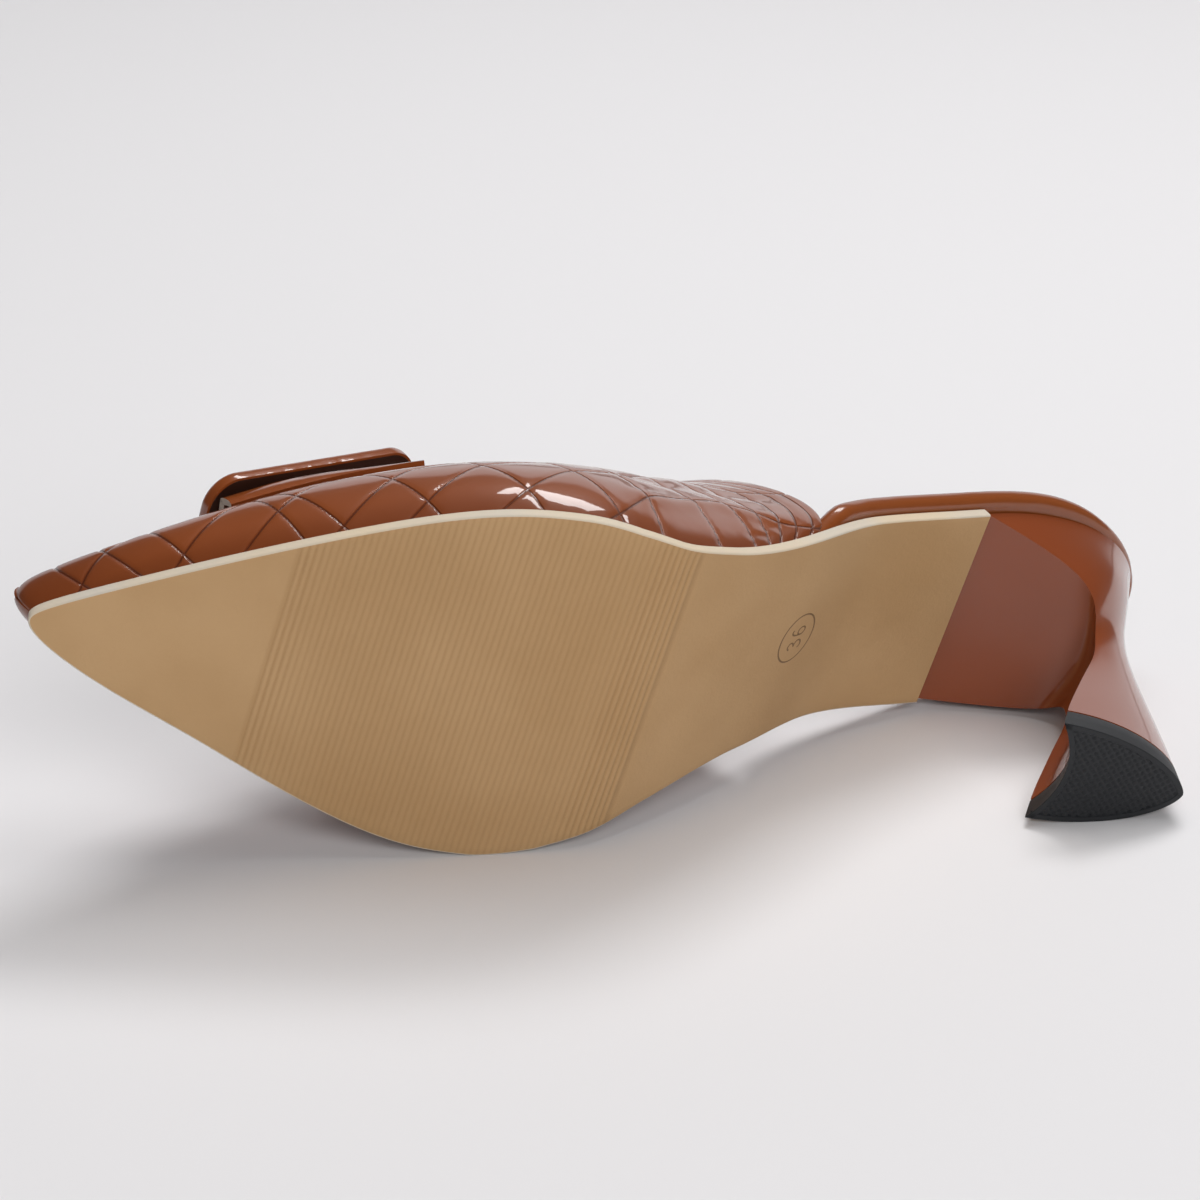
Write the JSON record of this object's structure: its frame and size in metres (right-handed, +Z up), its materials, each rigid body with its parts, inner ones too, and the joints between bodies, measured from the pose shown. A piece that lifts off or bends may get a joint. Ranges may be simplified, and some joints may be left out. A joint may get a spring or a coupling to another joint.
{
  "type": "pointed toe mule",
  "caption": "High-heeled slip-on mule with a pointed toe, a covered buckle frame on the vamp and a hollowed block heel, lying on its inner side.",
  "frame": {"origin": "middle of the bounding box, on the floor under the lying shoe", "axes": "X along the shoe with the toe towards -X; +Z up off the floor, the shoe's outer side up; the tread faces -Y"},
  "size_m": [0.2342, 0.083, 0.0761],
  "materials": {
    "tan_leather": "matte tan leather, fine grain, cream edge",
    "wrap_leather": "smooth brown leather, soft gloss",
    "patent_leather": "embossed brown patent leather, high gloss",
    "heel_lacquer": "brown lacquer, high gloss",
    "tip_rubber": "black moulded rubber, fine dotted tread"
  },
  "bodies": {
    "root": {"outsole": "tan_leather", "insole": "wrap_leather", "upper": "patent_leather", "heel": "heel_lacquer", "heel_tip": "tip_rubber", "buckle_frame": "patent_leather", "band": "patent_leather"}
  },
  "joints": []
}
